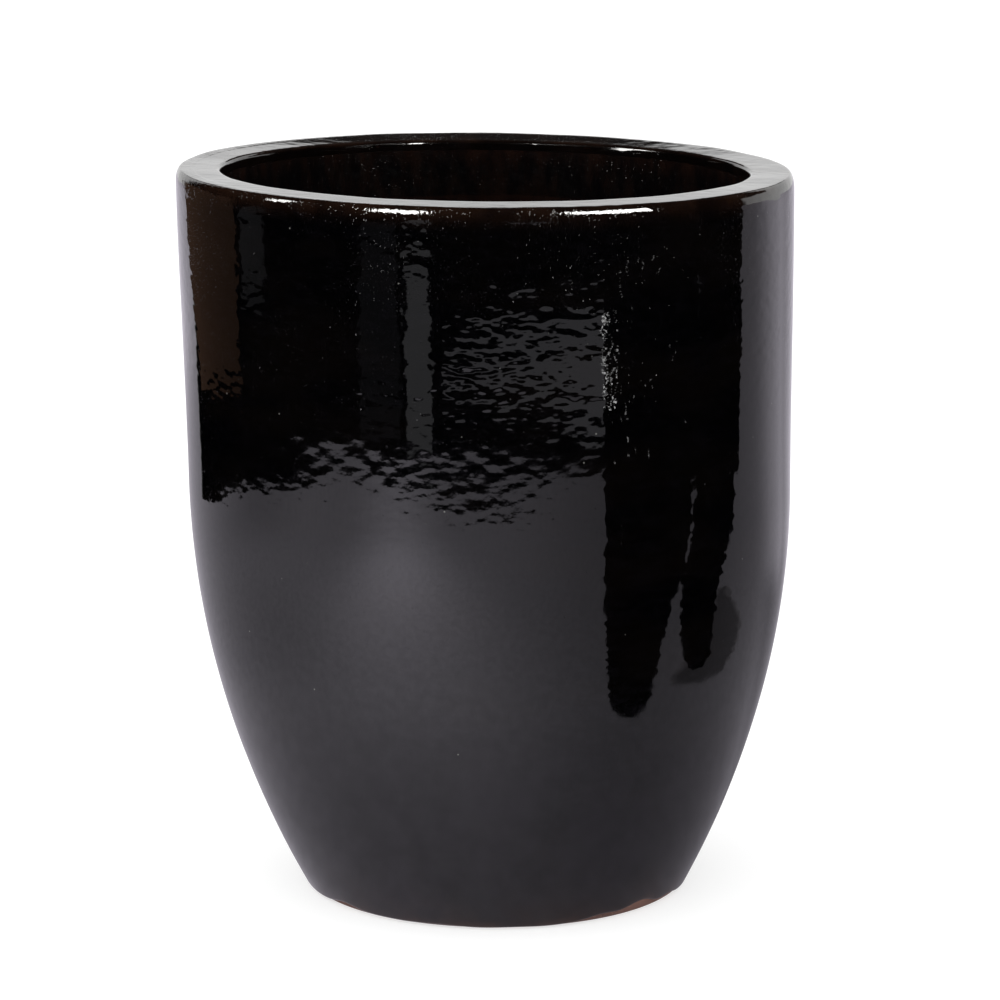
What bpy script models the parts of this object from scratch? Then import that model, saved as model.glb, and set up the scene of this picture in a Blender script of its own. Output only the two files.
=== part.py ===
"""A tall glazed clay planter, built up the way a potter builds one.

A slab floor with a drain hole carries two wall sections and a thick rim coil. A black
glaze coats the outside and the rim, a liner glaze coats the top of the inside, and a
rubber plug closes the drain hole.

Metres, +Z up. The origin is the middle of the foot, on the surface the pot stands on.
"""

import math

import bmesh
import bpy

# The finished outside, measured over the glaze.
HEIGHT = 0.540
RIM_RADIUS = 0.227
BELLY_RADIUS = 0.224
BELLY_HEIGHT = 0.310  # the wall tapers below this and is almost straight above it
FOOT_RADIUS = 0.143  # where the taper would meet the ground
TAPER_POWER = 2.06
RIM_EDGE = 0.004  # rounding of the rim's outer edge
LIP_EDGE = 0.003  # rounding of the rim's inner edge

# The clay.
MOUTH_RADIUS = 0.194
WALL = 0.021
THICKENING = (0.420, 0.500)  # the wall swells inwards to the rim between these heights
FLOOR_TOP = 0.030
FLOOR_FILLET = 0.014
SECTION_JOIN = 0.310
RIM_JOIN = 0.495
FOOT_EDGE = 0.007
FOOT_RING = 0.026  # width of the ring that the pot stands on
RECESS = 0.005
RECESS_SLOPE = 0.004
HOLE_RADIUS = 0.017
HOLE_CHAMFER = 0.0015

# The glaze.
GLAZE = 0.0012
GLAZE_LINE = 0.010  # lower edge of the outside coat, above the bare foot
LINER_TOP = 0.530
LINER_BOTTOM = 0.400

# The plug, measured from the underside of its flange.
PLUG_FLANGE_RADIUS = 0.026
PLUG_FLANGE = 0.004
PLUG_SHANK_TOP = 0.0165
PLUG_SHANK_END = 0.0148
PLUG_SHANK_LENGTH = 0.021
PLUG_NECK_RADIUS = 0.006
PLUG_KNOB_RADIUS = 0.0095
PLUG_KNOB_HEIGHT = 0.013  # centre of the knob
PLUG_EDGE = 0.0015  # chamfer round the flange's top and the shank's end
PLUG_RIBS = (0.25, 0.55, 0.85)  # places of the sealing ribs down the shank
PLUG_RIB = 0.0010  # how far a rib stands out
PLUG_RIB_HALF = 0.0015  # half its width

GAP = 0.0003  # between pieces that touch
CLAY_DEPTH = GLAZE + GAP
SEGMENTS = 60
PLUG_SEGMENTS = 24

# Heights that share out the wall's curve, from the glaze line to the foot of the rim.
TAPER_STATIONS = (0.065, 0.105, 0.150, 0.200, 0.255)
UPPER_STATIONS = (0.400, 0.450)
WALL_STATIONS = (GLAZE_LINE, FLOOR_TOP, *TAPER_STATIONS, SECTION_JOIN, *UPPER_STATIONS, RIM_JOIN)


def clear_scene():
    for obj in list(bpy.data.objects):
        bpy.data.objects.remove(obj, do_unlink=True)


def smoothstep(low, high, value):
    share = min(max((value - low) / (high - low), 0.0), 1.0)
    return share * share * (3.0 - 2.0 * share)


def spaced(low, high, spans):
    return [low + (high - low) * i / spans for i in range(spans + 1)]


def arc(centre, radius, start_deg, end_deg, spans):
    """Points (radius from the pot's axis, height) on an arc about centre."""
    turns = [math.radians(a) for a in spaced(start_deg, end_deg, spans)]
    return [(centre[0] + radius * math.cos(t), centre[1] + radius * math.sin(t)) for t in turns]


def wall_radius(height):
    """Radius of the finished outside."""
    if height >= BELLY_HEIGHT:
        flare = smoothstep(BELLY_HEIGHT, HEIGHT - RIM_EDGE, height)
        return BELLY_RADIUS + (RIM_RADIUS - BELLY_RADIUS) * flare
    drop = (BELLY_HEIGHT - height) / BELLY_HEIGHT
    return BELLY_RADIUS - (BELLY_RADIUS - FOOT_RADIUS) * drop**TAPER_POWER


def wall_slope(height):
    """How fast the finished outside widens with height."""
    if height >= BELLY_HEIGHT:
        return 0.0
    drop = (BELLY_HEIGHT - height) / BELLY_HEIGHT
    return (BELLY_RADIUS - FOOT_RADIUS) * TAPER_POWER * drop ** (TAPER_POWER - 1.0) / BELLY_HEIGHT


def outside(height, depth):
    """The point at this height that lies depth under the finished outside."""
    return wall_radius(height) - depth * math.hypot(1.0, wall_slope(height)), height


def inside(height, depth):
    """The point at this height that lies depth under the finished inside."""
    rim_wall = wall_radius(HEIGHT) - MOUTH_RADIUS
    thickness = WALL + (rim_wall - WALL) * smoothstep(*THICKENING, height)
    return outside(height, thickness - depth)


def stations(low, high):
    """The shared wall heights strictly between low and high."""
    return [z for z in WALL_STATIONS if low < z < high]


def material(name, colour, roughness, coat=0.0):
    made = bpy.data.materials.new(name)
    made.use_nodes = True
    shader = made.node_tree.nodes["Principled BSDF"]
    shader.inputs["Base Color"].default_value = (*colour, 1.0)
    shader.inputs["Roughness"].default_value = roughness
    shader.inputs["Coat Weight"].default_value = coat
    made.diffuse_color = (*colour, 1.0)
    return made


def turned(name, outline, finish, base=0.0, steps=SEGMENTS):
    """A solid of revolution about Z, from a closed outline of (radius, height) points."""
    work = bmesh.new()
    points = [work.verts.new((radius, 0.0, height)) for radius, height in outline]
    edges = [work.edges.new(pair) for pair in zip(points, points[1:] + points[:1])]
    bmesh.ops.spin(
        work,
        geom=points + edges,
        cent=(0.0, 0.0, 0.0),
        axis=(0.0, 0.0, 1.0),
        angle=2.0 * math.pi,
        steps=steps,
        use_merge=True,
    )
    bmesh.ops.remove_doubles(work, verts=work.verts, dist=1e-6)
    bmesh.ops.recalc_face_normals(work, faces=work.faces)
    mesh = bpy.data.meshes.new(name)
    work.to_mesh(mesh)
    work.free()
    mesh.materials.append(finish)
    mesh.shade_smooth()
    mesh.set_sharp_from_angle(angle=math.radians(35.0))
    obj = bpy.data.objects.new(name, mesh)
    obj.location = (0.0, 0.0, base)
    bpy.context.scene.collection.objects.link(obj)
    return obj


def clay_floor(clay):
    """The slab: a rounded foot, a standing ring, a shallow recess and the drain hole."""
    lean = math.degrees(math.atan(wall_slope(0.0)))
    corner, _ = outside(0.0, CLAY_DEPTH)
    contact = corner - FOOT_EDGE * math.tan(math.radians(90.0 - lean) / 2.0)
    ring_inner = contact - FOOT_RING
    top = FLOOR_TOP - GAP
    outline = [outside(top, CLAY_DEPTH), outside(GLAZE_LINE, CLAY_DEPTH)]
    outline += arc((contact, FOOT_EDGE), FOOT_EDGE, -lean, -90.0, 4)
    outline += [
        (ring_inner, 0.0),
        (ring_inner - RECESS_SLOPE, RECESS),
        (HOLE_RADIUS + HOLE_CHAMFER, RECESS),
        (HOLE_RADIUS, RECESS + HOLE_CHAMFER),
        (HOLE_RADIUS, top - HOLE_CHAMFER),
        (HOLE_RADIUS + HOLE_CHAMFER, top),
    ]
    return turned("clay_floor", outline, clay)


def clay_wall_lower(clay):
    """The tapered section, luted to the slab with a fillet round its inner corner."""
    top = SECTION_JOIN - GAP
    fillet_end = FLOOR_TOP + FLOOR_FILLET
    start, _ = inside(fillet_end, CLAY_DEPTH)
    heights = [top, *reversed(stations(FLOOR_TOP, SECTION_JOIN)), FLOOR_TOP]
    outline = [outside(z, CLAY_DEPTH) for z in heights]
    outline += arc((start - FLOOR_FILLET, fillet_end), FLOOR_FILLET, -90.0, -15.0, 4)
    outline += [inside(z, CLAY_DEPTH) for z in [*stations(fillet_end, SECTION_JOIN), top]]
    return turned("clay_wall_lower", outline, clay)


def clay_wall_upper(clay):
    """The almost straight section, thickened inwards at its top."""
    top = RIM_JOIN - GAP
    heights = [top, *reversed(stations(SECTION_JOIN, RIM_JOIN)), SECTION_JOIN]
    outline = [outside(z, CLAY_DEPTH) for z in heights]
    swell = spaced(THICKENING[0], top, 4)
    outline += [inside(z, CLAY_DEPTH) for z in [SECTION_JOIN, *swell]]
    return turned("clay_wall_upper", outline, clay)


def rim_line(depth, low_outer, low_inner):
    """The rim from its outer side over the flat top to its inner side, depth under the finish."""
    outer_centre = (RIM_RADIUS - RIM_EDGE, HEIGHT - RIM_EDGE)
    lip_centre = (MOUTH_RADIUS + LIP_EDGE, HEIGHT - LIP_EDGE)
    line = [outside(low_outer, depth)]
    line += arc(outer_centre, RIM_EDGE - depth, 0.0, 90.0, 3)
    line += arc(lip_centre, LIP_EDGE - depth, 90.0, 180.0, 2)
    return [*line, inside(low_inner, depth)]


def clay_rim(clay):
    """The heavy coil that makes the flat-topped rim."""
    return turned("clay_rim", rim_line(CLAY_DEPTH, RIM_JOIN, RIM_JOIN), clay)


def glaze_outer(glaze):
    """The coat from just above the foot, up the wall and over the rim."""

    def line(depth):
        wall = [outside(z, depth) for z in WALL_STATIONS[:-1]]
        return wall + rim_line(depth, RIM_JOIN, LINER_TOP)

    return turned("glaze_outer", line(0.0) + line(GLAZE)[::-1], glaze)


def glaze_inner(glaze):
    """The liner coat round the top of the inside, bare clay below it."""
    heights = [LINER_BOTTOM, *spaced(THICKENING[0], RIM_JOIN - GAP, 4), LINER_TOP - GAP]
    skin = [inside(z, 0.0) for z in heights]
    back = [inside(z, GLAZE) for z in reversed(heights)]
    return turned("glaze_inner", skin + back, glaze)


def drain_plug(rubber):
    """A tapered rubber bung: ribbed shank in the hole, flange on the floor, knob to pull."""
    ribs = []
    for share in PLUG_RIBS:
        radius = PLUG_SHANK_TOP + (PLUG_SHANK_END - PLUG_SHANK_TOP) * share
        height = -PLUG_SHANK_LENGTH * share
        ribs.append((radius - PLUG_RIB, height + PLUG_RIB_HALF))
        ribs.append((radius, height))
        ribs.append((radius - PLUG_RIB, height - PLUG_RIB_HALF))
    knob_start = math.degrees(math.acos(PLUG_NECK_RADIUS / PLUG_KNOB_RADIUS))
    outline = [(0.0, PLUG_KNOB_HEIGHT + PLUG_KNOB_RADIUS)]
    outline += arc((0.0, PLUG_KNOB_HEIGHT), PLUG_KNOB_RADIUS, 75.0, -knob_start, 7)
    outline += [
        (PLUG_NECK_RADIUS, PLUG_FLANGE),
        (PLUG_FLANGE_RADIUS - PLUG_EDGE, PLUG_FLANGE),
        (PLUG_FLANGE_RADIUS, PLUG_FLANGE - PLUG_EDGE),
        (PLUG_FLANGE_RADIUS, 0.0),
        (PLUG_SHANK_TOP - PLUG_RIB, 0.0),
        *ribs,
        (PLUG_SHANK_END - PLUG_RIB - PLUG_EDGE, -PLUG_SHANK_LENGTH),
        (0.0, -PLUG_SHANK_LENGTH),
    ]
    return turned("drain_plug", outline, rubber, base=FLOOR_TOP, steps=PLUG_SEGMENTS)


def main():
    clear_scene()
    clay = material("terracotta", (0.42, 0.17, 0.09), 0.85)
    black_glaze = material("black_glaze", (0.006, 0.005, 0.005), 0.06, coat=1.0)
    liner_glaze = material("liner_glaze", (0.020, 0.013, 0.010), 0.30, coat=0.5)
    rubber = material("rubber", (0.03, 0.03, 0.03), 0.70)
    clay_floor(clay)
    clay_wall_lower(clay)
    clay_wall_upper(clay)
    clay_rim(clay)
    glaze_outer(black_glaze)
    glaze_inner(liner_glaze)
    drain_plug(rubber)


main()
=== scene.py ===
"""The looks of the black-glazed clay planter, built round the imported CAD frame.

Every piece of the pot is a turned skin with the unevenness of hand work: the pot leans a
little, its rim slants, and its glaze ripples. Angles round the pot are azimuths in degrees,
0 towards the camera (-Y) and 90 towards +X. Metres, +Z up, the CAD's own frame.
"""

import math

import bpy
import numpy as np
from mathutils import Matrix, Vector

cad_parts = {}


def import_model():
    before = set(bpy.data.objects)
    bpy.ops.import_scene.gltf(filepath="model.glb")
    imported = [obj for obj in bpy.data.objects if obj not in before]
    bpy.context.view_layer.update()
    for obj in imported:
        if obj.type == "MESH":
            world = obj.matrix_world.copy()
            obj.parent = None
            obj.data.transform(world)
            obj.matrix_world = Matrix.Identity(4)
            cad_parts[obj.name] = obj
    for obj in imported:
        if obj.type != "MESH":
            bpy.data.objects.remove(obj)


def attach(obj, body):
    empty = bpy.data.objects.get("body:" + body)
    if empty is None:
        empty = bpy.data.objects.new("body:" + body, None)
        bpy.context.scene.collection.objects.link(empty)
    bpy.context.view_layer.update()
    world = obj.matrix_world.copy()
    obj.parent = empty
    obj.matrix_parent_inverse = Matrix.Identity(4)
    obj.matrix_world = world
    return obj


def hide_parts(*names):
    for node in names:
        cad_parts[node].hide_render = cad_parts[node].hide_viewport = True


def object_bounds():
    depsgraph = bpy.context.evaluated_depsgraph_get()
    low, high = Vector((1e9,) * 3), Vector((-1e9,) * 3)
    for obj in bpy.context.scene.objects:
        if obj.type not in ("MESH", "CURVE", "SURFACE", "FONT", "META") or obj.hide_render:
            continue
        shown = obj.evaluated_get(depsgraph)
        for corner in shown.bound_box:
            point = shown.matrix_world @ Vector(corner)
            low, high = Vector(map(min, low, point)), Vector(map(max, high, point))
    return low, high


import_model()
CAD_LOW, CAD_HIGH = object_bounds()

# The finished outside, as the CAD has it.
HEIGHT = CAD_HIGH.z
RIM_RADIUS = CAD_HIGH.x
BELLY_RADIUS = 0.224
BELLY_HEIGHT = 0.310
FOOT_RADIUS = 0.143
TAPER_POWER = 2.06
RIM_EDGE = 0.004
LIP_EDGE = 0.003
MOUTH_RADIUS = 0.194
WALL = 0.021
THICKENING = (0.420, 0.500)
FLOOR_TOP = 0.030
FLOOR_FILLET = 0.014
SECTION_JOIN = 0.310
RIM_JOIN = 0.495
FOOT_EDGE = 0.007
FOOT_RING = 0.026
RECESS = 0.005
RECESS_SLOPE = 0.004
HOLE_RADIUS = 0.017
HOLE_CHAMFER = 0.0015
GLAZE = 0.0012
GAP = 0.0003
CLAY_DEPTH = GLAZE + GAP
LINER_TOP = 0.530
LINER_BOTTOM = 0.400

# What the hand work adds.
LEAN = 0.0081  # how far the rim sits to the left of the foot
SLANT = 0.0022  # how much higher the rim is on the left, and lower on the right
RIM_DISH = 0.0009  # mean fall of the flat rim towards the mouth
DISH_SWAY = 0.0017  # how much more it falls at the back, and less in front
RIM_ROUND = 0.010  # height of the glaze's soft outer edge, RIM_EDGE wide
GLAZE_FOOT = 0.0012  # height of the glaze's lower edge
GLAZE_BEAD = 0.0018  # height over which that edge rounds off

FINE = 424  # segments round the outer coat
MEDIUM = 240  # round the liner coat
COARSE = 180  # round the clay pieces


# ---------------------------------------------------------------- shape of the pot

def smoothstep(low, high, value):
    share = np.clip((value - low) / (high - low), 0.0, 1.0)
    return share * share * (3.0 - 2.0 * share)


def wall_drop(height):
    return np.clip((BELLY_HEIGHT - height) / BELLY_HEIGHT, 0.0, 1.0)


def wall_slope(height):
    rate = (BELLY_RADIUS - FOOT_RADIUS) * TAPER_POWER / BELLY_HEIGHT
    return rate * wall_drop(height) ** (TAPER_POWER - 1.0)


FOOT_LEAN = math.atan(float(wall_slope(0.0)))
FOOT_CORNER = FOOT_RADIUS - CLAY_DEPTH * math.hypot(1.0, math.tan(FOOT_LEAN))
CONTACT = FOOT_CORNER - FOOT_EDGE * math.tan((math.pi / 2.0 - FOOT_LEAN) / 2.0)


def wall_radius(height):
    """Radius of the finished outside, rounded under at the foot."""
    flare = smoothstep(BELLY_HEIGHT, HEIGHT - RIM_EDGE, height)
    radius = BELLY_RADIUS + (RIM_RADIUS - BELLY_RADIUS) * flare
    radius = radius - (BELLY_RADIUS - FOOT_RADIUS) * wall_drop(height) ** TAPER_POWER
    round_radius = FOOT_EDGE + CLAY_DEPTH
    tangent = FOOT_EDGE - round_radius * math.sin(FOOT_LEAN)
    under = np.sqrt(np.maximum(round_radius**2 - (FOOT_EDGE - height) ** 2, 0.0))
    return np.where(height < tangent, CONTACT + under, radius)


def outside(height, depth):
    """Radius of the point at this height that lies depth under the finished outside."""
    return wall_radius(height) - depth * np.hypot(1.0, wall_slope(height))


def inside(height, depth):
    """Radius of the point at this height that lies depth under the finished inside."""
    rim_wall = RIM_RADIUS - MOUTH_RADIUS
    thickness = WALL + (rim_wall - WALL) * smoothstep(*THICKENING, height)
    return outside(height, thickness - depth)


def waves(seed, count, around, up, size):
    """A surface height that depends on (theta, height): cosines that close round the pot.

    around is the range of whole waves round the pot, up the range of upright wavelengths,
    and size the root mean square height.
    """
    draw = np.random.default_rng(seed)
    turns = draw.integers(around[0], around[1] + 1, count)
    rises = 2.0 * math.pi / draw.uniform(*up, count) * draw.choice((-1.0, 1.0), count)
    phases = draw.uniform(0.0, 2.0 * math.pi, count)

    def relief(theta, height):
        total = 0.0
        for turn, rise, phase in zip(turns, rises, phases):
            total = total + np.cos(turn * theta + rise * height + phase)
        return size * math.sqrt(2.0 / count) * total

    return relief


out_of_round = waves(3, 5, (2, 4), (0.6, 1.2), 0.0002)
dents = waves(5, 14, (3, 11), (0.08, 0.25), 0.00003)
throwing_rings = waves(7, 10, (0, 3), (0.030, 0.060), 0.000010)
ripples = waves(11, 110, (36, 92), (0.011, 0.022), 0.000012)
rim_lumps = waves(17, 12, (6, 26), (0.04, 0.12), 0.00008)
finger_rings = waves(19, 12, (0, 2), (0.012, 0.022), 0.00022)
clay_lumps = waves(23, 40, (4, 40), (0.01, 0.05), 0.00012)


def glaze_relief(theta, run):
    """Ripples of the glaze over the wall. run is the height, and goes on over the rim."""
    lively = 0.22 + 0.35 * smoothstep(0.325, 0.360, run) + 0.35 * smoothstep(0.385, 0.425, run)
    return dents(theta, run) + throwing_rings(theta, run) + lively * ripples(theta, run)


def hand_made(radius, height, theta):
    """Place (radius, height, theta) on the leaning, slanting, not quite round pot."""
    rise = height / HEIGHT
    radius = radius + out_of_round(theta, height) * smoothstep(0.0, 0.15, height)
    across = radius * np.cos(theta)
    lift = -SLANT * (across / RIM_RADIUS) * smoothstep(0.0, 1.0, rise)
    return np.stack([across - LEAN * rise, radius * np.sin(theta), height + lift], axis=-1)


# ---------------------------------------------------------------- meshes

def circle(segments):
    return 2.0 * math.pi * np.arange(segments) / segments


def ring_mesh(name, rings, attributes=None):
    """A closed skin from rings of points: an array (rings, segments, 3), last joined to first."""
    rows, segments = rings.shape[:2]
    here = np.arange(rows * segments).reshape(rows, segments)
    above = np.roll(here, -1, axis=0)
    quads = np.stack([here, np.roll(here, -1, axis=1), np.roll(above, -1, axis=1), above], axis=-1)
    quads = quads.reshape(-1, 4)
    mesh = bpy.data.meshes.new(name)
    mesh.vertices.add(rows * segments)
    mesh.vertices.foreach_set("co", rings.reshape(-1).astype(np.float32))
    mesh.loops.add(quads.size)
    mesh.loops.foreach_set("vertex_index", quads.reshape(-1))
    mesh.polygons.add(len(quads))
    mesh.polygons.foreach_set("loop_start", np.arange(0, quads.size, 4))
    mesh.update(calc_edges=True)
    mesh.validate()
    mesh.shade_smooth()
    mesh.set_sharp_from_angle(angle=math.radians(40.0))
    for label, values in (attributes or {}).items():
        layer = mesh.attributes.new(label, "FLOAT", "POINT")
        layer.data.foreach_set("value", values.reshape(-1).astype(np.float32))
    obj = bpy.data.objects.new(name, mesh)
    bpy.context.scene.collection.objects.link(obj)
    return obj


def arc(centre, radius, start_deg, end_deg, spans):
    turns = np.radians(np.linspace(start_deg, end_deg, spans + 1))
    return [(centre[0] + radius * math.cos(t), centre[1] + radius * math.sin(t)) for t in turns]


def finely(outline, step):
    """The closed outline with points no further apart than step."""
    points = []
    for here, after in zip(outline, outline[1:] + outline[:1]):
        spans = max(1, math.ceil(math.dist(here, after) / step))
        points += [np.add(here, np.subtract(after, here) * i / spans) for i in range(spans)]
    return np.array(points)


def outward(line):
    """Unit normals (radial, upright) of a closed outline that runs up its outer side."""
    along = np.roll(line, -1, axis=0) - np.roll(line, 1, axis=0)
    along /= np.linalg.norm(along, axis=1, keepdims=True)
    return np.stack([along[:, 1], -along[:, 0]], axis=1)


def turned_clay(name, outline, segments, step, relief, where):
    """A turned clay piece with a closed outline of (radius, height) points.

    relief(theta, run) stands out of the surface, scaled by where(radius, height).
    """
    line = finely(outline, step)
    normals = outward(line)
    theta = circle(segments)[None, :]
    radius, height = line[:, :1], line[:, 1:]
    swell = relief(theta, height + 0.4 * radius) * where(radius, height)
    radius = radius + swell * normals[:, :1]
    height = height + swell * normals[:, 1:]
    return ring_mesh(name, hand_made(radius, height, theta))


def glaze_edge(theta):
    """Height of the outer coat's lower edge: just above the ground, higher at the bare patches."""
    edge = GLAZE_FOOT + 0.0004 * np.cos(7 * theta + 1.0) + 0.0003 * np.cos(17 * theta)
    patches = ((-50, 7, 0.0045), (33, 6, 0.0035), (47, 8, 0.0080), (62, 6, 0.0040),
               (118, 9, 0.0060), (171, 5, 0.0050), (-141, 11, 0.0055), (-96, 5, 0.0030))
    for azimuth, width, rise in patches:
        apart = np.degrees(theta) - (azimuth - 90.0)
        apart = (apart + 180.0) % 360.0 - 180.0
        edge = edge + rise * np.exp(-((apart / width) ** 2))
    return edge


class Coat:
    """Rings of the outer coat, gathered in order, and how thin the glaze is at each point."""

    def __init__(self):
        self.theta = circle(FINE)
        self.edge = glaze_edge(self.theta)
        self.rings = []
        self.thin = []

    def add(self, radius, height, out, up, run, lively, thinness):
        """A ring whose relief, read at run, stands out along (out, up)."""
        swell = lively * glaze_relief(self.theta, run)
        self.rings.append(hand_made(radius + out * swell, height + up * swell, self.theta))
        self.thin.append(np.broadcast_to(thinness, self.theta.shape))

    def wall(self, start, depth, lively):
        """A ring on the wall. Near the foot it bends to follow the coat's lower edge."""
        bend = 1.0 - smoothstep(0.0, 0.04, start - GLAZE_FOOT)
        height = start + (self.edge - GLAZE_FOOT) * bend
        lean = np.arctan(wall_slope(height))
        above = height - self.edge
        thinness = 0.8 * np.exp(-above / 0.0012) + 0.25 * np.exp(-above / 0.012)
        thinness = thinness + 0.05 * smoothstep(0.522, 0.532, height)
        self.add(outside(height, depth), height, np.cos(lean), -np.sin(lean), height, lively, thinness)


def wall_rings(coat, top):
    """Up the outside, from the bead at the coat's lower edge."""
    for share in np.linspace(0.0, 1.0, 6):
        depth = GLAZE * (1.0 - math.sqrt(1.0 - (1.0 - share) ** 2))
        coat.wall(GLAZE_FOOT + GLAZE_BEAD * share, depth, 0.3 * share)
    # Fine where the ripples show, coarser below.
    bands = ((GLAZE_FOOT + GLAZE_BEAD, 0.24, 48), (0.24, 0.50, 100), (0.50, top, 14))
    for low, high, spans in bands:
        for height in np.linspace(low, high, spans + 1)[1:]:
            coat.wall(height, 0.0, min(1.0, 0.3 + height / 0.03))


def rim_rings(coat, top, lip_centre, dish):
    """Over the rim: its soft outer edge, its flat top and its lip, then down into the mouth."""
    lumps = rim_lumps(coat.theta, HEIGHT)
    outer_centre = (RIM_RADIUS - RIM_EDGE, top)
    run = top
    for turn in np.radians(np.linspace(0.0, 90.0, 15)[1:]):
        run += RIM_ROUND * math.radians(90.0 / 14)
        coat.add(outer_centre[0] + RIM_EDGE * math.cos(turn) + lumps * math.cos(turn),
                 outer_centre[1] + RIM_ROUND * math.sin(turn) + lumps * math.sin(turn),
                 math.cos(turn), math.sin(turn), run, 1.0, 0.05 + 0.15 * math.sin(turn))
    top_width = outer_centre[0] - lip_centre[0]
    for share in np.linspace(0.0, 1.0, 9)[1:]:
        coat.add(outer_centre[0] - top_width * share, HEIGHT - dish * share + lumps, 0.0, 1.0,
                 run + top_width * share, 1.0, 0.20 - 0.10 * math.sin(math.pi * share))
    run += top_width
    for turn in np.radians(np.linspace(90.0, 180.0, 7)[1:]):
        run += LIP_EDGE * math.radians(90.0 / 6)
        coat.add(lip_centre[0] + LIP_EDGE * math.cos(turn) + lumps * math.cos(turn),
                 lip_centre[1] - dish + LIP_EDGE * math.sin(turn) + lumps * math.sin(turn),
                 math.cos(turn), math.sin(turn), run, 1.0, 0.16 * math.sin(turn) + 0.04)
    for height in (0.5345, 0.5320, LINER_TOP):
        coat.add(inside(height, 0.0), height, -1.0, 0.0, run + HEIGHT - height, 0.8, 0.04)


def back_rings(coat, lip_centre, dish):
    """The coat's hidden side against the clay, from the mouth back down to the foot. It is smooth."""
    clay_centre = (RIM_RADIUS - RIM_EDGE, HEIGHT - RIM_EDGE)
    for height in (LINER_TOP, 0.534):
        coat.add(inside(height, GLAZE), height, 0.0, 0.0, height, 0.0, 0.0)
    for radius, height in arc(lip_centre, LIP_EDGE - GLAZE, 180.0, 90.0, 3):
        coat.add(radius, height - dish, 0.0, 0.0, height, 0.0, 0.0)
    for radius, height in arc(clay_centre, RIM_EDGE - GLAZE, 90.0, 0.0, 3):
        coat.add(radius, height, 0.0, 0.0, height, 0.0, 0.0)
    for height in np.linspace(HEIGHT - RIM_EDGE, GLAZE_FOOT, 22)[1:]:
        coat.wall(height, GLAZE, 0.0)


def outer_coat():
    """The black coat: from the foot up the wall, over the rim and into the mouth, then its back."""
    coat = Coat()
    top = HEIGHT - RIM_ROUND
    lip_centre = (MOUTH_RADIUS + LIP_EDGE, HEIGHT - LIP_EDGE)
    dish = RIM_DISH + DISH_SWAY * np.sin(coat.theta)
    wall_rings(coat, top)
    rim_rings(coat, top, lip_centre, dish)
    back_rings(coat, lip_centre, dish)
    return ring_mesh("black_glaze_coat", np.array(coat.rings), {"thin": np.array(coat.thin)})


def liner_coat():
    """The thinner coat round the top of the inside, with a brushed, ragged lower edge."""
    theta = circle(MEDIUM)
    edge = LINER_BOTTOM + 0.004 * np.cos(3 * theta + 0.6) + 0.0022 * np.cos(11 * theta + 2.0)
    tufts = waves(29, 20, (12, 60), (1.0, 2.0), 0.0016)
    edge = edge + 0.0018 * np.cos(29 * theta + 1.0) + tufts(theta, 0.0)
    top = LINER_TOP - GAP
    rings, thin = [], []
    shares = np.concatenate([np.linspace(0.0, 0.02, 5), np.linspace(0.02, 1.0, 70)[1:]])
    for share in shares[::-1]:
        height = edge + (top - edge) * share
        rounding = GLAZE * np.clip(1.0 - (height - edge) / 0.002, 0.0, 1.0) ** 2
        swell = finger_rings(theta, height) + 0.8 * clay_lumps(theta, height)
        swell = swell * smoothstep(0.515, 0.44, height)
        rings.append(hand_made(inside(height, rounding) - swell, height, theta))
        thin.append(np.exp(-(height - edge) / 0.010) + 0.05 * smoothstep(0.515, 0.530, height))
    for share in np.linspace(0.0, 1.0, 10)[1:]:
        height = edge + (top - edge) * share
        swell = finger_rings(theta, height)
        rings.append(hand_made(inside(height, GLAZE) - swell, height, theta))
        thin.append(np.ones_like(theta))
    return ring_mesh("liner_glaze_coat", np.array(rings), {"thin": np.array(thin)})


def bare_relief(theta, run):
    return finger_rings(theta, run) + clay_lumps(theta, run)


def quiet_floor(radius, height):
    """How much of the relief the slab takes: none where the pot stands and where the plug seals."""
    return smoothstep(0.001, 0.004, height) * smoothstep(0.028, 0.045, radius)


def bare_inside(radius, height):
    """How much of the relief the wall takes: all of it inside, none under the outer coat."""
    return smoothstep(0.001, 0.004, outside(height, CLAY_DEPTH) - radius)


def slab_outline():
    """The slab: its rounded foot, the drain hole, and the recess inside the foot ring."""
    top = FLOOR_TOP - GAP
    ring_inner = CONTACT - FOOT_RING
    outline = arc((CONTACT, FOOT_EDGE), FOOT_EDGE, -90.0, -math.degrees(FOOT_LEAN), 8)
    return outline + [
        (float(outside(0.012, CLAY_DEPTH)), 0.012),
        (float(outside(top, CLAY_DEPTH)), top),
        (HOLE_RADIUS + HOLE_CHAMFER, top),
        (HOLE_RADIUS, top - HOLE_CHAMFER),
        (HOLE_RADIUS, RECESS + HOLE_CHAMFER),
        (HOLE_RADIUS + HOLE_CHAMFER, RECESS),
        (ring_inner - RECESS_SLOPE, RECESS),
        (ring_inner, 0.0),
    ]


def section_outline(low, high):
    """The wall between two heights, with a fillet inside where it stands on the slab."""
    spacing = 0.008
    heights = np.linspace(low, high, 1 + math.ceil((high - low) / spacing))
    outline = [(float(outside(z, CLAY_DEPTH)), float(z)) for z in heights]
    inner_low = low
    fillet = []
    if low == FLOOR_TOP:
        inner_low = FLOOR_TOP + FLOOR_FILLET
        start = float(inside(inner_low, CLAY_DEPTH))
        fillet = arc((start - FLOOR_FILLET, inner_low), FLOOR_FILLET, -15.0, -90.0, 7)
    heights = np.linspace(high, inner_low, 1 + math.ceil((high - inner_low) / spacing))
    outline += [(float(inside(z, CLAY_DEPTH)), float(z)) for z in heights]
    return outline + fillet


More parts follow.
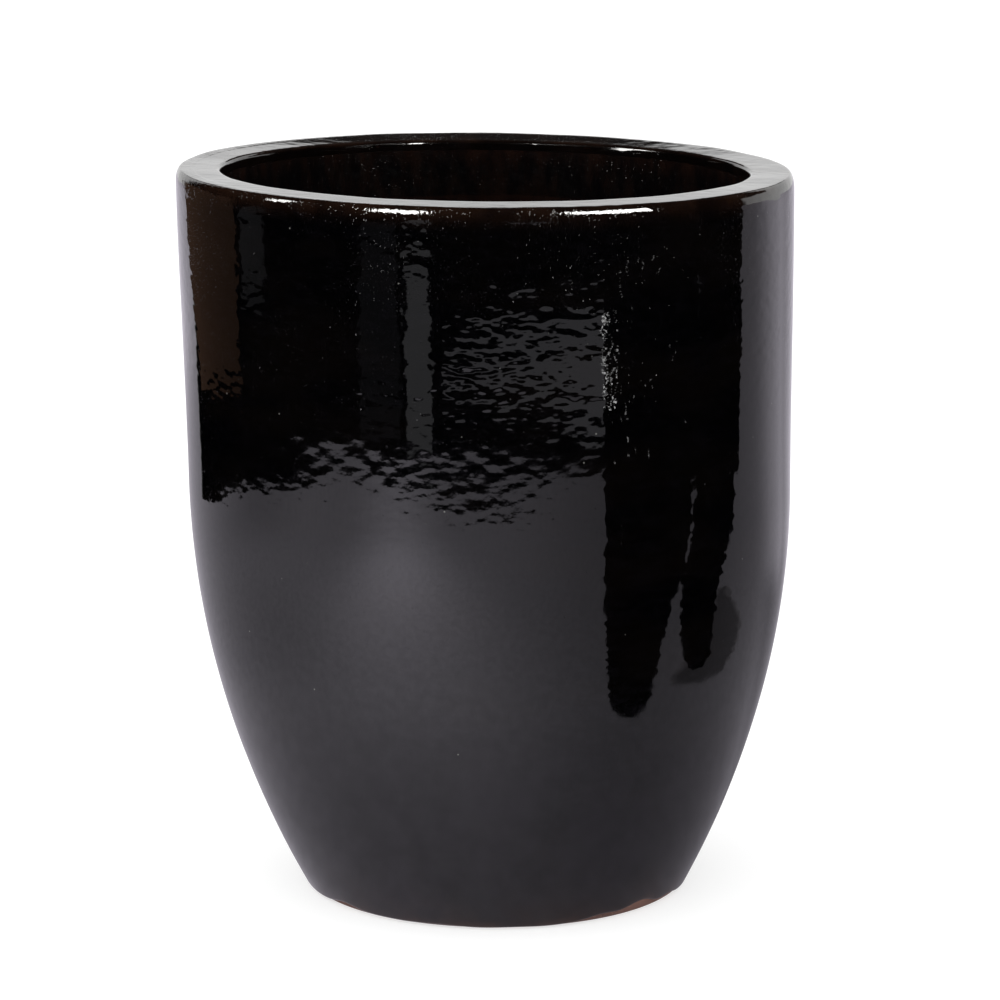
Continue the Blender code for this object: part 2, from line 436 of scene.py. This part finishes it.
def coil_outline():
    """The rim coil, low enough at its lip for the fall of the coat over it."""
    lip = (MOUTH_RADIUS + LIP_EDGE, HEIGHT - LIP_EDGE - RIM_DISH - DISH_SWAY)
    outline = [(float(outside(RIM_JOIN, CLAY_DEPTH)), RIM_JOIN)]
    outline += arc((RIM_RADIUS - RIM_EDGE, HEIGHT - RIM_EDGE), RIM_EDGE - CLAY_DEPTH, 0.0, 90.0, 5)
    outline += arc(lip, LIP_EDGE - CLAY_DEPTH, 90.0, 180.0, 4)
    return outline + [(float(inside(RIM_JOIN, CLAY_DEPTH)), RIM_JOIN)]


def clay_pieces():
    """The fired body's four sections, bare inside, with finger rings and lumps."""
    lower_wall = section_outline(FLOOR_TOP, SECTION_JOIN - GAP)
    upper_wall = section_outline(SECTION_JOIN, RIM_JOIN - GAP)
    slab = turned_clay("foot_slab", slab_outline(), COARSE, 0.003, clay_lumps, quiet_floor)
    lower = turned_clay("lower_wall_section", lower_wall, COARSE, 0.0025, bare_relief, bare_inside)
    upper = turned_clay("upper_wall_section", upper_wall, COARSE, 0.0025, bare_relief, bare_inside)
    rim = turned_clay("rim_coil", coil_outline(), COARSE, 0.006, clay_lumps, lambda radius, height: 0.0)
    return slab, lower, upper, rim


def rubber_bung():
    """A tapered rubber plug: sealing ribs down the shank, a flange, a neck and a knob."""
    flange_radius, flange, neck, knob, knob_height = 0.026, 0.004, 0.006, 0.0095, 0.013
    shank_top, shank_end, shank_length, rib = 0.0165, 0.0148, 0.021, 0.0010
    outline = [(0.0004, -shank_length)]
    outline += arc((shank_end - rib - 0.0015, -shank_length + 0.0015), 0.0015, -90.0, 0.0, 4)
    for drop in np.linspace(shank_length - 0.0018, 0.0006, 60):
        share = drop / shank_length
        beads = sum(math.exp(-(((share - place) / 0.035) ** 2)) for place in (0.25, 0.55, 0.85))
        taper = shank_top + (shank_end - shank_top) * share
        outline.append((taper - rib * (1.0 - min(beads, 1.0)), -drop))
    outline += [(shank_top - rib, 0.0)]
    outline += arc((flange_radius - 0.0008, 0.0008), 0.0008, -90.0, 0.0, 3)
    outline += arc((flange_radius - 0.0015, flange - 0.0015), 0.0015, 0.0, 90.0, 5)
    outline += [(0.0145, flange + 0.0002), (0.0135, flange + 0.0006), (0.0125, flange + 0.0002)]
    outline += arc((neck + 0.0015, flange + 0.0015), 0.0015, -90.0, -180.0, 4)
    start = math.degrees(math.acos(neck / knob))
    outline += arc((0.0, knob_height), knob, -start + 4.0, 88.0, 26)
    theta = circle(96)[None, :]
    line = np.array(outline)
    height = line[:, 1:] + FLOOR_TOP
    radius = line[:, :1] + 0 * theta
    rings = np.stack([radius * np.cos(theta), radius * np.sin(theta), height + 0 * theta], axis=-1)
    return ring_mesh("rubber_bung", rings)


# ---------------------------------------------------------------- materials

class Nodes:
    """A node tree with short calls for what the materials share."""

    def __init__(self, owner):
        owner.use_nodes = True
        self.tree = owner.node_tree
        self.tree.nodes.clear()

    def add(self, kind, inputs=None, **settings):
        node = self.tree.nodes.new("ShaderNode" + kind)
        for key, value in settings.items():
            setattr(node, key, value)
        for key, value in (inputs or {}).items():
            if isinstance(value, bpy.types.NodeSocket):
                self.tree.links.new(value, node.inputs[key])
            else:
                node.inputs[key].default_value = value
        return node

    def calc(self, operation, first, second=0.0, third=0.0):
        inputs = {0: first, 1: second, 2: third}
        return self.add("Math", inputs, operation=operation).outputs[0]

    def plus(self, first, second):
        return self.calc("ADD", first, second)

    def times(self, first, second):
        return self.calc("MULTIPLY", first, second)

    def vector(self, operation, first, second=(0.0, 0.0, 0.0)):
        return self.add("VectorMath", {0: first, 1: second}, operation=operation)

    def remap(self, value, low, high, to_low=0.0, to_high=1.0):
        """value from low to high becomes to_low to to_high, eased at both ends and held beyond."""
        inputs = {"Value": value, "From Min": low, "From Max": high, "To Min": to_low, "To Max": to_high}
        return self.add("MapRange", inputs, interpolation_type="SMOOTHSTEP").outputs[0]

    def blend(self, share, first, second):
        inputs = {0: share, 6: first, 7: second}
        return self.add("Mix", inputs, data_type="RGBA").outputs[2]

    def noise(self, place, scale, detail=2.0, roughness=0.5):
        inputs = {"Vector": place, "Scale": scale, "Detail": detail, "Roughness": roughness}
        return self.add("TexNoise", inputs).outputs[0]

    def cells(self, place, scale):
        return self.add("TexVoronoi", {"Vector": place, "Scale": scale})

    def pits(self, place, scale, size, share):
        """Depth, 0 to -1, of pinholes of many depths in a share of the cells."""
        cells = self.cells(place, scale)
        draw = self.add("SeparateColor", {0: cells.outputs["Color"]})
        chosen = self.calc("LESS_THAN", draw.outputs[0], share)
        deep = self.times(chosen, self.remap(draw.outputs[1], 0.0, 1.0, -0.15, -1.0))
        return self.times(deep, self.remap(cells.outputs["Distance"], 0.0, size, 1.0, 0.0))

    def stretched(self, place, scale, turn=(0.0, 0.0, 0.0)):
        return self.add("Mapping", {"Vector": place, "Scale": scale, "Rotation": turn}).outputs[0]

    def bump(self, height, distance, normal=None):
        inputs = {"Height": height, "Distance": distance, "Strength": 1.0}
        if normal is not None:
            inputs["Normal"] = normal
        return self.add("Bump", inputs).outputs[0]

    def attribute(self, name):
        return self.add("Attribute", attribute_name=name, attribute_type="GEOMETRY").outputs["Fac"]

    def surface(self, shader):
        self.add("OutputMaterial", {"Surface": shader.outputs[0]})

    def finish(self, colour, roughness, normal, ior):
        self.surface(self.add("BsdfPrincipled", {
            "Base Color": colour, "Roughness": roughness, "IOR": ior, "Normal": normal,
        }))


def rgb(red, green, blue):
    return (red, green, blue, 1.0)


def object_place(nodes):
    place = nodes.add("TexCoord").outputs["Object"]
    return place, nodes.add("SeparateXYZ", {0: place}).outputs["Z"]


def glaze_colour(nodes, place, flat, height):
    """Nearly black, with a violet cloud low down that is partly the glaze's own cloudiness and partly a
    painted sheen of the reflected floor, grain low down, a few pale motes, and brown where it runs thin.
    """
    body = nodes.blend(nodes.remap(nodes.noise(flat, 9.0, 3.0), 0.42, 0.68),
                       rgb(0.0003, 0.0003, 0.0004), rgb(0.0011, 0.0008, 0.0007))
    turned = nodes.stretched(place, (1.0, 1.0, 0.8), (0.3, 0.2, 0.0))
    patchy = nodes.remap(nodes.noise(place, 70.0, 6.0, 0.6), 0.30, 0.70, 0.82, 1.12)
    cloud = nodes.times(nodes.noise(turned, 16.0, 5.0, 0.62), patchy)
    # Partly painted sheen: the violet cloud low down also stands in for the blurred reflection of the pale
    # floor.
    haze_and_painted_sheen = nodes.times(nodes.remap(cloud, 0.25, 0.75), nodes.remap(height, 0.03, 0.19, 1.0, 0.0))
    body = nodes.blend(haze_and_painted_sheen, body, rgb(0.0060, 0.0048, 0.0072))
    grain = nodes.times(nodes.noise(place, 460.0, 3.0, 0.7), nodes.noise(flat, 75.0, 3.0))
    grain = nodes.times(nodes.remap(grain, 0.18, 0.42), nodes.remap(height, 0.12, 0.24, 0.9, 0.25))
    body = nodes.blend(grain, body, rgb(0.0036, 0.0031, 0.0042))
    motes = nodes.cells(place, 150.0)
    draw = nodes.add("SeparateColor", {0: motes.outputs["Color"]})
    mote = nodes.calc("LESS_THAN", draw.outputs[2], 0.010)
    mote = nodes.times(mote, nodes.remap(motes.outputs["Distance"], 0.05, 0.13, 1.0, 0.0))
    body = nodes.blend(mote, body, rgb(0.11, 0.11, 0.10))
    mottle = nodes.remap(nodes.noise(place, 38.0, 3.0), 0.35, 0.65, 0.35, 1.0)
    return nodes.blend(nodes.times(nodes.attribute("thin"), mottle), body, rgb(0.050, 0.022, 0.012))


def glaze_roughness(nodes, place, flat, height, from_axis):
    """Almost a mirror high up, duller near the foot and worn at the lip of the mouth."""
    dust = nodes.noise(place, 420.0, 2.0, 0.7)
    smear = nodes.remap(nodes.noise(flat, 22.0, 4.0, 0.6), 0.45, 0.75, 0.0, 0.05)
    smear = nodes.times(smear, nodes.remap(height, 0.25, 0.33, 1.0, 0.2))
    roughness = nodes.plus(smear, nodes.remap(dust, 0.4, 0.8, 0.020, 0.050))
    roughness = nodes.plus(roughness, nodes.remap(height, 0.10, 0.22, 0.10, 0.0))
    worn = nodes.times(nodes.remap(from_axis, 0.196, 0.200, 0.06, 0.0), nodes.remap(height, 0.510, 0.520))
    return nodes.plus(roughness, worn)


def glaze_normal(nodes, place, height, from_axis):
    """Peel and pinholes, livelier towards the rim, brushing low down, and a pitted rim edge."""
    lively = nodes.remap(height, 0.365, 0.430, 0.18, 1.0)
    oval = nodes.stretched(place, (1.0, 1.0, 1.7))
    normal = nodes.bump(nodes.times(nodes.noise(oval, 82.0, 1.0, 0.4), lively), 0.00021)
    brushed = nodes.stretched(place, (1.0, 1.0, 0.14), (0.0, math.radians(18.0), 0.0))
    low_down = nodes.remap(height, 0.30, 0.38, 1.0, 0.0)
    normal = nodes.bump(nodes.times(nodes.noise(brushed, 300.0, 2.0), low_down), 0.000016, normal)
    normal = nodes.bump(nodes.noise(place, 260.0, 2.0), 0.000007, normal)

    patchy = nodes.remap(nodes.noise(place, 13.0, 2.0), 0.40, 0.68, 0.15, 1.0)
    crowded = nodes.times(nodes.remap(height, 0.36, 0.53, 0.10, 1.0), patchy)
    for scale, size, share, depth in ((820.0, 0.26, 0.60, 0.00010), (330.0, 0.20, 0.17, 0.00026)):
        normal = nodes.bump(nodes.pits(place, scale, size, nodes.times(crowded, share)), depth, normal)

    edge = nodes.times(nodes.remap(from_axis, 0.2215, 0.2240), nodes.remap(height, 0.525, 0.533))
    normal = nodes.bump(nodes.pits(place, 560.0, 0.34, nodes.times(edge, 0.42)), 0.00018, normal)
    return nodes.bump(nodes.times(nodes.noise(place, 330.0, 2.0), edge), 0.00018, normal)


def black_glaze():
    """Deep black glass over red clay."""
    material = bpy.data.materials.new("black_glaze")
    nodes = Nodes(material)
    place, height = object_place(nodes)
    flat = nodes.stretched(place, (1.0, 1.0, 2.6))
    from_axis = nodes.vector("LENGTH", nodes.stretched(place, (1.0, 1.0, 0.0))).outputs["Value"]
    colour = glaze_colour(nodes, place, flat, height)
    roughness = glaze_roughness(nodes, place, flat, height, from_axis)
    normal = glaze_normal(nodes, place, height, from_axis)
    nodes.finish(colour, roughness, normal, 1.52)
    return material


def liner_glaze():
    """Brown-black wash inside the mouth, pitted and half dull, with pale specks near the rim painted in as
    glints.
    """
    material = bpy.data.materials.new("liner_glaze")
    nodes = Nodes(material)
    place, height = object_place(nodes)
    upright = nodes.stretched(place, (1.0, 1.0, 0.35))
    mottle = nodes.noise(upright, 70.0, 4.0, 0.6)
    body = nodes.blend(nodes.remap(mottle, 0.4, 0.7),
                       rgb(0.0012, 0.0010, 0.0012), rgb(0.0050, 0.0026, 0.0020))
    # Painted glints: pale specks, stronger towards the rim, stand in for sparkles of light in the pits.
    pale = nodes.remap(height, 0.48, 0.53, -0.2, -1.0)
    painted_glint_specks = nodes.times(nodes.pits(place, 620.0, 0.30, 0.16), pale)
    body = nodes.blend(painted_glint_specks, body, rgb(0.075, 0.075, 0.080))
    thin = nodes.times(nodes.attribute("thin"), nodes.remap(mottle, 0.3, 0.7, 0.3, 1.0))
    colour = nodes.blend(thin, body, rgb(0.10, 0.040, 0.022))
    roughness = nodes.remap(nodes.noise(place, 160.0, 3.0), 0.3, 0.7, 0.07, 0.14)
    near_rim = nodes.remap(height, 0.47, 0.525, 0.25, 1.0)
    normal = nodes.bump(nodes.noise(upright, 150.0, 3.0), 0.00002)
    for scale, size, share, depth in ((560.0, 0.30, 0.40, 0.00016), (230.0, 0.20, 0.10, 0.00040)):
        normal = nodes.bump(nodes.pits(place, scale, size, nodes.times(near_rim, share)), depth, normal)
    nodes.finish(colour, roughness, normal, 1.50)
    return material


def terracotta():
    """Fired red clay: speckled, dusty, with grog pits, darker towards the ground and a dark seam by the
    liner.
    """
    material = bpy.data.materials.new("terracotta")
    nodes = Nodes(material)
    place, height = object_place(nodes)
    broad = nodes.noise(place, 14.0, 5.0, 0.6)
    fine = nodes.noise(place, 380.0, 3.0, 0.7)
    colour = nodes.blend(nodes.remap(broad, 0.35, 0.65), rgb(0.15, 0.052, 0.032), rgb(0.29, 0.115, 0.070))
    colour = nodes.blend(nodes.remap(fine, 0.55, 0.75), colour, rgb(0.42, 0.24, 0.17))
    grog = nodes.cells(place, 300.0)
    draw = nodes.add("SeparateColor", {0: grog.outputs["Color"]})
    speck = nodes.calc("LESS_THAN", draw.outputs[1], 0.10)
    speck = nodes.times(speck, nodes.remap(grog.outputs["Distance"], 0.15, 0.35, 1.0, 0.0))
    colour = nodes.blend(speck, colour, rgb(0.07, 0.035, 0.025))
    patchy = nodes.remap(broad, 0.3, 0.7, 1.0, 0.75)
    # The clay is made darker towards the ground, most within 6 mm of it and none above 30 mm.
    darker_near_ground = nodes.times(nodes.remap(height, 0.006, 0.030, 0.72, 0.0), patchy)
    colour = nodes.blend(darker_near_ground, colour, rgb(0.050, 0.026, 0.024))
    seam = nodes.calc("ABSOLUTE", nodes.calc("SUBTRACT", height, LINER_TOP))
    seam = nodes.remap(seam, 0.0015, 0.003, 1.0, 0.0)
    colour = nodes.blend(seam, colour, rgb(0.004, 0.003, 0.003))
    roughness = nodes.remap(fine, 0.3, 0.7, 0.74, 0.94)
    normal = nodes.bump(nodes.times(speck, -1.0), 0.00035, nodes.bump(fine, 0.00022))
    nodes.finish(colour, roughness, normal, 1.45)
    return material


def rubber():
    """Dull black rubber with a faint bloom and moulding grain."""
    material = bpy.data.materials.new("rubber")
    nodes = Nodes(material)
    place, _ = object_place(nodes)
    bloom = nodes.noise(place, 90.0, 4.0, 0.6)
    colour = nodes.blend(nodes.remap(bloom, 0.4, 0.75), rgb(0.016, 0.016, 0.017), rgb(0.052, 0.050, 0.048))
    roughness = nodes.remap(bloom, 0.3, 0.7, 0.52, 0.78)
    normal = nodes.bump(nodes.noise(place, 1400.0, 2.0), 0.00005)
    nodes.finish(colour, roughness, normal, 1.50)
    return material


# ---------------------------------------------------------------- studio

CAMERA_PLACE = (0.003, -3.2, 0.9373)
CAMERA_PITCH = 11.431  # degrees below level
CAMERA_LENS = 157.2
SENSOR = 36.0

WHITE_SIDE = 164.0  # azimuth of the middle of the white backdrop
WHITE_HALF = 53.0  # half its width, degrees
FLAG_DISTANCE = 0.42  # from the pot's axis to the dark flags

BLACK = (0.0, 0.0, 0.0)


def polar(distance, azimuth, height):
    turn = math.radians(azimuth)
    return (distance * math.sin(turn), -distance * math.cos(turn), height)


def plain_object(name, points, faces):
    mesh = bpy.data.meshes.new(name)
    mesh.from_pydata(points, [], faces)
    obj = bpy.data.objects.new(name, mesh)
    bpy.context.scene.collection.objects.link(obj)
    return obj


def glowing(name, colour, strength=1.0):
    material = bpy.data.materials.new(name)
    nodes = Nodes(material)
    nodes.surface(nodes.add("Emission", {"Color": colour, "Strength": strength}))
    return material


def only_reflected(obj):
    obj.visible_camera = False
    obj.visible_diffuse = False
    obj.visible_shadow = False
    obj.visible_transmission = False
    obj.visible_volume_scatter = False


def card(name, radiance, near, far, columns=8):
    """A card seen only in the glaze. near and far are edges of (azimuth, distance, height)."""
    rows = len(near)
    points, faces = [], []
    for here, there in zip(near, far):
        for share in np.linspace(0.0, 1.0, columns + 1):
            azimuth, distance, height = (a + (b - a) * share for a, b in zip(here, there))
            points.append(polar(distance, azimuth, height))
    for row in range(rows - 1):
        for column in range(columns):
            start = row * (columns + 1) + column
            faces.append((start, start + 1, start + columns + 2, start + columns + 1))
    obj = plain_object(name, points, faces)
    obj.data.materials.append(glowing(name, rgb(*radiance)))
    only_reflected(obj)


def screen(name, radiance, distance, edges, ragged=0.0):
    """An upright card on a cylinder round the pot. edges are (height, left azimuth, right azimuth).

    ragged is how far, in degrees, its upright edges wander.
    """
    known, left, right = zip(*edges)
    heights = np.linspace(known[0], known[-1], 2 + int(200 * (known[-1] - known[0])))
    draw = np.random.default_rng(len(name))
    left = np.interp(heights, known, left) + ragged * draw.uniform(-1.0, 1.0, heights.size)
    right = np.interp(heights, known, right) + ragged * draw.uniform(-1.0, 1.0, heights.size)
    near = [(a, distance, z) for a, z in zip(left, heights)]
    far = [(a, distance, z) for a, z in zip(right, heights)]
    card(name, radiance, near, far)


def glints(name, azimuths, heights, count, radiance, distance=0.415):
    """Small bright scraps in front of the flags: they show as hard little sparks in the glaze."""
    draw = np.random.default_rng(count)
    points, faces = [], []
    for i in range(count):
        azimuth = azimuths[0] + (azimuths[1] - azimuths[0]) * draw.beta(1.0, 3.0)
        height = draw.uniform(*heights)
        wide = draw.uniform(0.06, 0.24)
        tall = draw.uniform(0.0003, 0.0011)
        for a, z in ((-wide, -tall), (wide, -0.4 * tall), (wide, tall), (-wide, 0.6 * tall)):
            points.append(polar(distance, azimuth + a, height + z))
        faces.append(tuple(range(4 * i, 4 * i + 4)))
    obj = plain_object(name, points, faces)
    obj.data.materials.append(glowing(name, rgb(1.0, 1.0, 1.0), radiance))
    only_reflected(obj)


def softbox(name, azimuth, elevation, wide, tall, radiance, distance=2.6):
    """A light wide by tall degrees that shows only as a highlight on the rim and in pinholes."""
    half_width = distance * math.tan(math.radians(wide / 2.0))
    half_height = distance * math.tan(math.radians(tall / 2.0))
    lift = math.radians(elevation)
    centre = Vector(polar(distance * math.cos(lift), azimuth, HEIGHT + distance * math.sin(lift)))
    facing = (Vector((0.0, 0.0, HEIGHT)) - centre).to_track_quat("-Z", "Y")
    corners = ((-1.0, -1.0), (1.0, -1.0), (1.0, 1.0), (-1.0, 1.0))
    points = [centre + facing @ Vector((x * half_width, y * half_height, 0.0)) for x, y in corners]
    obj = plain_object(name, points, [(0, 1, 2, 3)])
    obj.data.materials.append(glowing(name, rgb(1.0, 0.99, 0.96), radiance))
    only_reflected(obj)


def floor_level(nodes, place):
    """How bright the reflected floor is: a pool of light, dimmer beside the pot and to the left."""
    turned = nodes.stretched(place, (1.0, 1.0, 1.0), (0.0, 0.0, math.radians(32.0)))
    axes = nodes.add("SeparateXYZ", {0: turned})
    across = nodes.calc("DIVIDE", axes.outputs["X"], 0.34)
    along = nodes.calc("DIVIDE", nodes.plus(axes.outputs["Y"], 1.15), 0.65)
    spread = nodes.plus(nodes.calc("POWER", across, 2.0), nodes.calc("POWER", along, 2.0))
    pool = nodes.calc("EXPONENT", nodes.times(spread, -1.0))

    away = nodes.vector("LENGTH", place).outputs["Value"]
    direction = nodes.add("SeparateXYZ", {0: nodes.vector("NORMALIZE", place).outputs[0]})
    side = direction.outputs["X"]
    behind = nodes.remap(direction.outputs["Y"], -0.10, 0.15)
    level = nodes.plus(nodes.remap(side, -0.25, 0.85, 0.92, 0.44), nodes.times(pool, 1.25))
    level = nodes.times(level, nodes.remap(away, 0.12, 0.50, 0.52, 1.0))

    left = nodes.vector("DOT_PRODUCT", place, (-0.6, 0.8, 0.0)).outputs["Value"]
    further = nodes.plus(left, nodes.remap(away, 0.5, 1.2, 0.5, 0.0))
    dim = nodes.times(nodes.remap(further, 0.25, 1.15, 0.0, 0.5), nodes.remap(left, 1.7, 2.6, 1.0, 0.4))
    dim = nodes.times(dim, nodes.remap(side, -0.10, 0.35, 1.0, 0.0))
    level = nodes.times(level, nodes.calc("SUBTRACT", 1.0, dim))
    back = nodes.vector("DOT_PRODUCT", place, (-0.5, 1.0, 0.0)).outputs["Value"]
    level = nodes.plus(level, nodes.remap(back, -0.5, 1.5, 0.0, 0.14))

    # Behind and to the right it is brighter along one beam, and darker close to the pot.
    lit = nodes.times(nodes.remap(side, 0.56, 0.68), nodes.remap(side, 0.78, 0.93, 0.5, 0.0))
    lit = nodes.times(lit, nodes.remap(away, 0.85, 1.15))
    shade = nodes.times(nodes.remap(side, 0.75, 0.90, 0.36, 0.0), nodes.remap(away, 0.8, 1.4, 1.0, 0.0))
    shade = nodes.times(shade, nodes.remap(side, -0.10, 0.60))
    change = nodes.times(nodes.calc("SUBTRACT", lit, shade), behind)
    level = nodes.times(level, nodes.plus(change, 1.0))
    return nodes.times(level, nodes.remap(nodes.noise(place, 34.0, 5.0, 0.7), 0.25, 0.75, 0.90, 1.10))


def reflected_floor():
    """The pale floor as the glaze sees it: it ends about 1.8 m in front and runs far behind."""
    azimuths = np.linspace(-134.0, 80.0, 45)
    known = (-134, -121, -80, -55, -44, -34, -12, 12, 34, 80)
    reach = np.interp(azimuths, known, (1.54, 1.56, 1.69, 1.78, 1.78, 1.765, 1.81, 1.86, 1.90, 1.87))
    outline = [polar(distance, azimuth, 0.0) for distance, azimuth in zip(reach, azimuths)]
    outline += [polar(1.9, 103.5, 0.0), polar(6.0, 108.0, 0.0), (6.0, 7.5, 0.0), polar(9.0, -142.0, 0.0)]
    obj = plain_object("floor_in_glaze", outline, [tuple(range(len(outline)))])
    material = bpy.data.materials.new("floor_in_glaze")
    nodes = Nodes(material)
    level = floor_level(nodes, nodes.add("TexCoord").outputs["Object"])
    nodes.surface(nodes.add("Emission", {"Color": rgb(0.94, 0.89, 1.0), "Strength": level}))
    obj.data.materials.append(material)
    only_reflected(obj)


def flags():
    """Two black shapes on the right, a soft dark patch beside them, and sparks in front."""
    screen("flag_right", BLACK, FLAG_DISTANCE,
           [(0.0, 45, 49), (0.010, 41, 52.5), (0.032, 37.5, 54), (0.10, 34.6, 53.5), (0.17, 32.5, 54.8),
            (0.205, 31.7, 59.0), (0.27, 31.3, 61), (0.50, 31.4, 64)], 0.75)
    screen("flag_far_right", BLACK, FLAG_DISTANCE,
           [(0.070, 69, 74), (0.085, 64, 77), (0.116, 61, 76), (0.17, 58.5, 74.5), (0.22, 59, 77),
            (0.245, 61, 80), (0.30, 63, 81.5), (0.50, 63, 82)], 1.0)
    # Four cards, each behind the last, a little wider and paler, stand in for a soft edge.
    for step, level in enumerate((0.16, 0.21, 0.27, 0.34)):
        grow = 0.8 * step
        screen(f"soft_shade_{step}", (level, 0.94 * level, 1.03 * level), 0.430 + 0.002 * step,
               [(0.044 - 0.002 * step, 64 - grow, 76), (0.056, 64 - grow, 85 + grow),
                (0.085, 70 - grow, 90 + grow), (0.11, 72 - grow, 91 + grow),
                (0.13, 74 - grow, 88 + grow), (0.17, 76 - grow, 78 + grow)], 1.2)
    glints("glints", (30.6, 36.0), (0.355, 0.427), 80, 9.0)
    glints("stray_glints", (33.0, 60.0), (0.31, 0.47), 40, 3.0)


def far_cards():
    """Uprights, walls and a second strip of floor, further off."""
    screen("stand_left", (0.40, 0.40, 0.42), 1.85, [(0.0, -28.6, -19.6), (0.213, -28.6, -20.2)], 0.45)
    screen("stand_far_left", (0.045, 0.045, 0.050), 1.90, [(0.0, -46, -31), (0.26, -44, -31)], 0.4)
    card("floor_beyond", (0.50, 0.49, 0.53),
         [(-16, 2.06, 0.0), (-3, 2.12, 0.0), (12, 2.13, 0.0), (27, 2.12, 0.0), (44, 2.06, 0.0)],
         [(-16, 2.18, 0.0), (-3, 2.34, 0.0), (12, 2.50, 0.0), (27, 2.63, 0.0), (44, 2.78, 0.0)], columns=2)
    screen("wall_left", (0.105, 0.060, 0.040), 1.6,
           [(0.09, -130, -99), (0.18, -134, -99), (0.28, -139, -99), (0.60, -140, -99)])
    screen("reflector_left", (0.075, 0.075, 0.08), 1.5, [(0.215, -96, -84), (0.33, -95, -83)], 0.6)
    screen("reflector_right", (0.10, 0.10, 0.11), 1.5, [(0.22, 64, 82), (0.36, 64, 82)])


def softboxes():
    """Three lights, and two black flags that keep them off the far lip of the mouth."""
    softbox("softbox_side", -76.0, 24.5, 18.0, 15.0, 26.0)
    softbox("softbox_left", -32.0, 24.5, 18.0, 15.0, 40.0)
    softbox("softbox_right", 49.5, 24.5, 33.0, 14.0, 40.0)
    near, low, high = -0.26, 0.556, 1.1
    for name, left, right in (("mouth_flag_left", -0.70, -0.16), ("mouth_flag_right", 0.27, 1.20)):
        points = [(left, near, low), (right, near, low), (right, near, high), (left, near, high)]
        obj = plain_object(name, points, [(0, 1, 2, 3)])
        obj.data.materials.append(glowing(name, rgb(*BLACK)))
        only_reflected(obj)


def world():
    """White to the camera, soft to the clay, and to the glaze a dark studio with a white backdrop."""
    sky = bpy.data.worlds.new("studio")
    bpy.context.scene.world = sky
    nodes = Nodes(sky)
    ray = nodes.add("TexCoord").outputs["Generated"]
    level = nodes.vector("NORMALIZE", nodes.stretched(ray, (1.0, 1.0, 0.0))).outputs[0]
    towards = (*polar(1.0, WHITE_SIDE, 0.0)[:2], 0.0)
    facing = nodes.vector("DOT_PRODUCT", level, towards).outputs["Value"]
    outer, inner = (math.cos(math.radians(WHITE_HALF + soft)) for soft in (2.0, -2.0))
    white = nodes.remap(facing, outer, inner)
    # The backdrop's top edge is level behind the pot and higher on either side.
    sideways = nodes.calc("ABSOLUTE", nodes.add("SeparateXYZ", {0: level}).outputs["X"])
    raised = nodes.remap(sideways, 0.22, 0.45, 0.0, 0.28)
    raised = nodes.times(raised, nodes.remap(sideways, 0.60, 0.76, 1.0, 0.0))
    rise = nodes.calc("SUBTRACT", nodes.add("SeparateXYZ", {0: ray}).outputs["Z"], raised)
    backdrop = nodes.times(nodes.times(white, nodes.remap(rise, 0.205, 0.262, 1.0, 0.02)), 1.05)
    paths = nodes.add("LightPath")
    seen = nodes.times(paths.outputs["Is Glossy Ray"], backdrop)
    soft = nodes.times(nodes.calc("SUBTRACT", 1.0, paths.outputs["Is Glossy Ray"]), 1.15)
    strength = nodes.calc("MAXIMUM", nodes.plus(seen, soft), paths.outputs["Is Camera Ray"])
    shader = nodes.add("Background", {"Color": rgb(1.0, 1.0, 1.0), "Strength": strength})
    nodes.add("OutputWorld", {"Surface": shader.outputs[0]})


def floor():
    """The pale studio floor that the camera sees."""
    points = [polar(14.0, azimuth, -0.0002) for azimuth in np.linspace(0.0, 354.0, 60)]
    obj = plain_object("studio_floor", points, [tuple(range(len(points)))])
    material = bpy.data.materials.new("studio_floor")
    nodes = Nodes(material)
    place = nodes.add("TexCoord").outputs["Object"]
    colour = nodes.blend(nodes.noise(place, 3.0, 4.0), rgb(0.41, 0.41, 0.41), rgb(0.43, 0.43, 0.43))
    nodes.surface(nodes.add("BsdfPrincipled", {
        "Base Color": colour, "Roughness": 0.9, "Specular IOR Level": 0.0,
        "Emission Color": rgb(1.0, 1.0, 1.0), "Emission Strength": 0.66,
    }))
    obj.data.materials.append(material)
    obj.visible_glossy = False


def overhead_light():
    """A broad soft light from above that whitens the floor and reaches into the mouth."""
    light = bpy.data.lights.new("overhead", "SUN")
    light.energy = 1.0
    light.angle = math.radians(70.0)
    obj = bpy.data.objects.new("overhead", light)
    obj.rotation_euler = (math.radians(18.0), math.radians(-14.0), 0.0)
    obj.visible_glossy = False
    bpy.context.scene.collection.objects.link(obj)


def camera():
    lens = bpy.data.cameras.new("camera")
    lens.lens = CAMERA_LENS
    lens.sensor_width = SENSOR
    obj = bpy.data.objects.new("camera", lens)
    obj.location = CAMERA_PLACE
    obj.rotation_euler = (math.radians(90.0 - CAMERA_PITCH), 0.0, 0.0)
    bpy.context.scene.collection.objects.link(obj)
    bpy.context.scene.camera = obj


# ---------------------------------------------------------------- the pot in its studio

def finish_piece(obj, material, slot, body, *nodes):
    obj.data.materials.append(material)
    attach(obj, body)
    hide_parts(*nodes)


def main():
    camera()
    clay = terracotta()
    slab, lower, upper, rim = clay_pieces()
    finish_piece(slab, clay, "terracotta", "pot", "clay_floor")
    finish_piece(lower, clay, "terracotta", "pot", "clay_wall_lower")
    finish_piece(upper, clay, "terracotta", "pot", "clay_wall_upper")
    finish_piece(rim, clay, "terracotta", "pot", "clay_rim")
    finish_piece(outer_coat(), black_glaze(), "black_glaze", "pot", "glaze_outer")
    finish_piece(liner_coat(), liner_glaze(), "liner_glaze", "pot", "glaze_inner")
    finish_piece(rubber_bung(), rubber(), "rubber", "plug", "drain_plug")
    world()
    floor()
    overhead_light()
    reflected_floor()
    flags()
    far_cards()
    softboxes()
    bpy.context.scene.view_settings.view_transform = "Standard"
    bpy.context.view_layer.update()


main()
